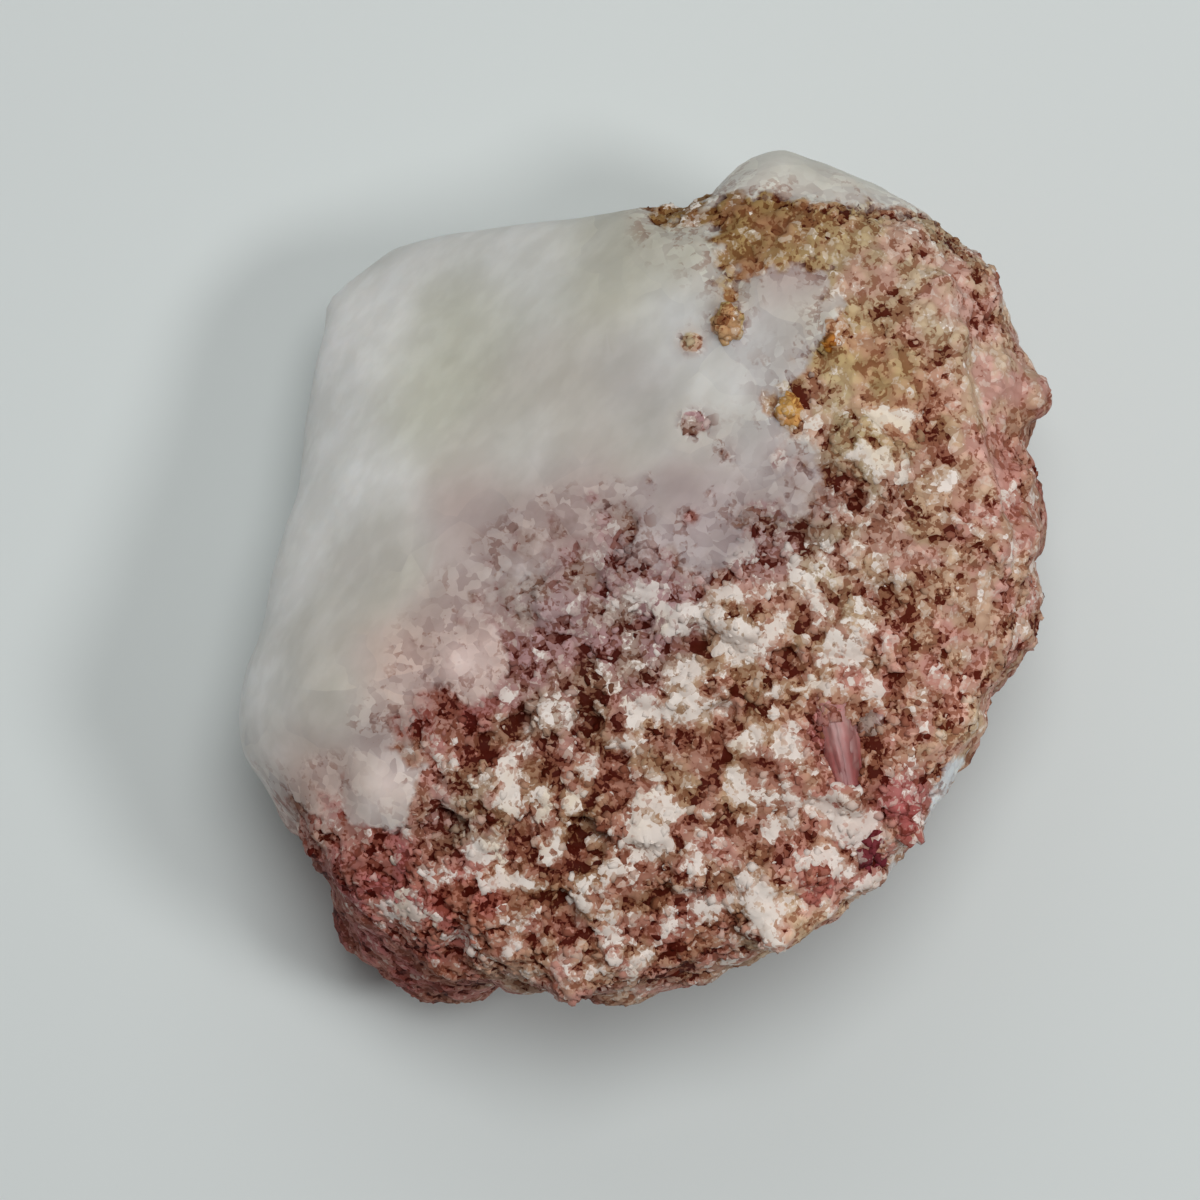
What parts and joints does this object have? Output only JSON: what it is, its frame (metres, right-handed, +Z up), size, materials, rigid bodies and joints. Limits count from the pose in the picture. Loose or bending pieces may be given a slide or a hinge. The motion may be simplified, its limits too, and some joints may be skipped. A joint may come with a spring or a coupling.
{
  "type": "pink tourmaline with quartz",
  "caption": "Rough mineral stone: milky quartz slope on one side, sugary pink-brown tourmaline rock with pale patches on the other, on a flat broken base.",
  "frame": {"origin": "middle of the stone's underside, at the centre of its box", "axes": "+Z up out of the granular top face, +Y along the longest side towards the quartz cap, +X to the pink edge"},
  "size_m": [0.0393, 0.0416, 0.0226],
  "materials": {
    "rock": "sugary pink-brown rock with white patches, passing into milky quartz"
  },
  "bodies": {
    "root": {"stone": "rock"}
  },
  "joints": []
}
